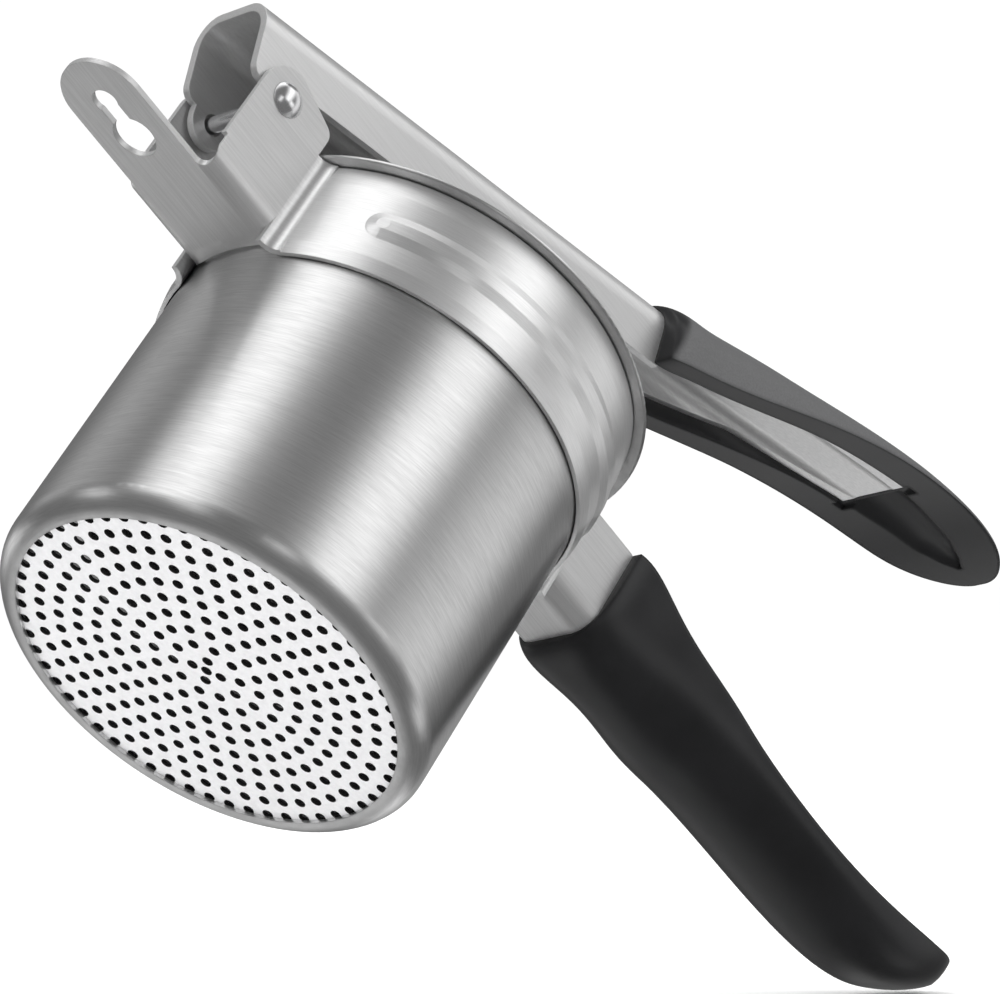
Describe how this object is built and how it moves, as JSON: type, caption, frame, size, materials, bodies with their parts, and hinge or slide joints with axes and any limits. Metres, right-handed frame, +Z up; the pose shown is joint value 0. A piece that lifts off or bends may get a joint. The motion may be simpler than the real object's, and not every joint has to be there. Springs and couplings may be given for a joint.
{
  "type": "potato ricer",
  "caption": "Hand press for ricing cooked potato: a perforated drop-in steel hopper in a stamped frame, with a hinged lever, a plunger and black moulded grips.",
  "frame": {"origin": "centre of the hopper's underside, in the plane of the ring it stands on", "axes": "+Z up the hopper's axis to its open mouth, +X from the hinge towards the handles, +Y to the side of the plane of symmetry"},
  "size_m": [0.2598, 0.0906, 0.1628],
  "materials": {
    "hopper_steel": "fine brushed",
    "disc_steel": "satin",
    "frame_steel": "satin",
    "rivet_steel": "polished",
    "lever_steel": "brushed lengthways",
    "plunger_steel": "satin",
    "grip_black": "soft-touch matte"
  },
  "bodies": {
    "frame": {"frame_collar": "frame_steel", "pivot_rivet": "rivet_steel", "lower_grip": "grip_black"},
    "hopper": {"hopper_cup": "hopper_steel", "fine_disc": "disc_steel"},
    "lever": {"lever_arm": "lever_steel", "upper_grip": "grip_black", "plunger_pin": "rivet_steel"},
    "plunger": {"plunger_plate": "plunger_steel", "plunger_strap": "plunger_steel", "strap_rivets": "rivet_steel"}
  },
  "joints": [
    {"name": "lever_hinge", "type": "hinge", "parent": "frame", "child": "lever", "pos_m": [-0.05543, 0, 0.08725], "axis": [0, -1, 0], "range_deg": [-19.1, 31]},
    {"name": "plunger_swing", "type": "hinge", "parent": "lever", "child": "plunger", "pos_m": [-0.00597, 0, 0.10735], "axis": [0, -1, 0], "range_deg": [-22, 13.5]},
    {"name": "hopper_turn", "type": "hinge", "parent": "frame", "child": "hopper", "pos_m": [0, 0, 0.045], "axis": [0, 0, 1], "continuous": true}
  ],
  "couplings": [
    {"joint": "plunger_swing", "follows": "lever_hinge", "ratio": -0.7}
  ]
}
